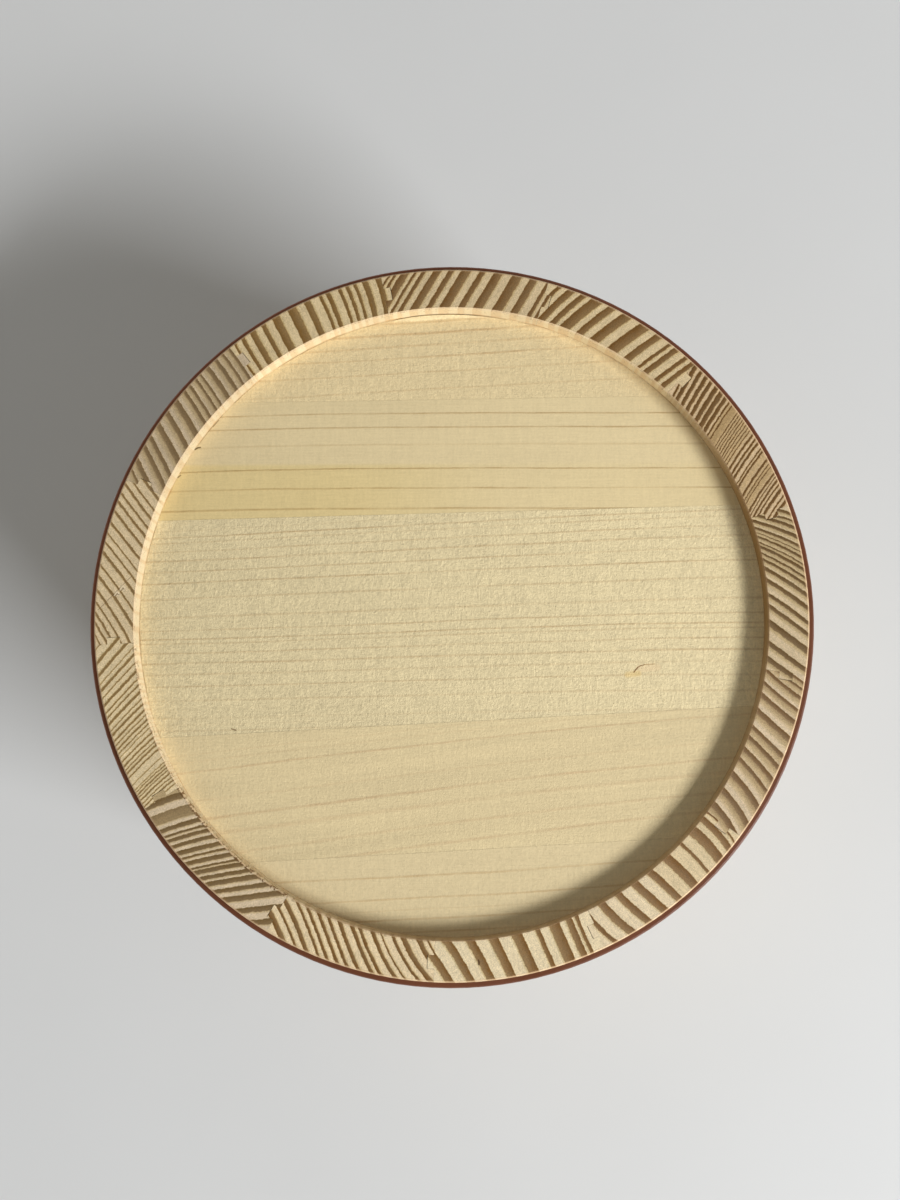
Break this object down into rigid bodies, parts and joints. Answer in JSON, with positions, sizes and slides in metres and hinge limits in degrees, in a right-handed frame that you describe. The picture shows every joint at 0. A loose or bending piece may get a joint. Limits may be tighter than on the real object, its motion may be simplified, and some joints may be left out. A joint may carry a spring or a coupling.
{
  "type": "wooden bucket",
  "caption": "Round stave-built wooden bath bucket, stored upside down on its rim: tapered tongued and grooved staves, recessed bottom of edge-glued boards, brown hoops.",
  "frame": {"origin": "centre of the plane of the rim, on which the bucket stands upside down as in the picture", "axes": "+Z up along the bucket's axis, out through its underside; +X close to the grain of the bottom boards and to the right in the picture; +Y up in the picture"},
  "size_m": [0.2268, 0.2268, 0.11],
  "materials": {
    "stave_wood": "unfinished planed softwood with bold growth rings",
    "board_wood": "unfinished planed softwood with fine straight grain",
    "hoop_resin": "semi-gloss copper-brown moulded resin"
  },
  "bodies": {
    "root": {"stave_01": "stave_wood", "stave_02": "stave_wood", "stave_03": "stave_wood", "stave_04": "stave_wood", "stave_05": "stave_wood", "stave_06": "stave_wood", "stave_07": "stave_wood", "stave_08": "stave_wood", "stave_09": "stave_wood", "stave_10": "stave_wood", "stave_11": "stave_wood", "stave_12": "stave_wood", "stave_13": "stave_wood", "bottom_board_1": "board_wood", "bottom_board_2": "board_wood", "bottom_board_3": "board_wood", "bottom_board_4": "board_wood", "bottom_board_5": "board_wood", "foot_hoop": "hoop_resin", "rim_hoop": "hoop_resin"}
  },
  "joints": []
}
